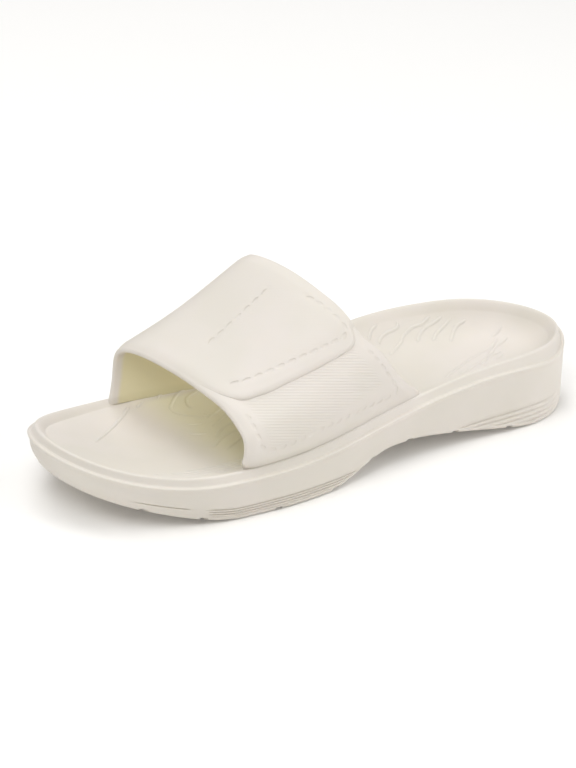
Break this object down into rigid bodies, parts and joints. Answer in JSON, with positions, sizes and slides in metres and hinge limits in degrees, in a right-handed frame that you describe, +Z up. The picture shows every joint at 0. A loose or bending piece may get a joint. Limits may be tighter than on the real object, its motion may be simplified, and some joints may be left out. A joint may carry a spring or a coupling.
{
  "type": "sport slide sandal",
  "caption": "Left slide sandal in pale moulded foam: contoured footbed with a raised rim, grooved sole side and a broad strap with an overlapping flap over the instep.",
  "frame": {"origin": "on the floor under the middle of the sole's outline, the centre of the bounding box's base", "axes": "+Z up, the toe points to -Y and the heel to +Y, the wearer's left and outer side is +X"},
  "size_m": [0.1048, 0.285, 0.0907],
  "materials": {
    "sole_foam": "matt moulded EVA foam, cream white, with a soft skin",
    "upper_foam": "matt moulded EVA foam, cream white, with fine moulded ribs and stitch marks"
  },
  "bodies": {
    "root": {"sole": "sole_foam", "upper": "upper_foam"}
  },
  "joints": []
}
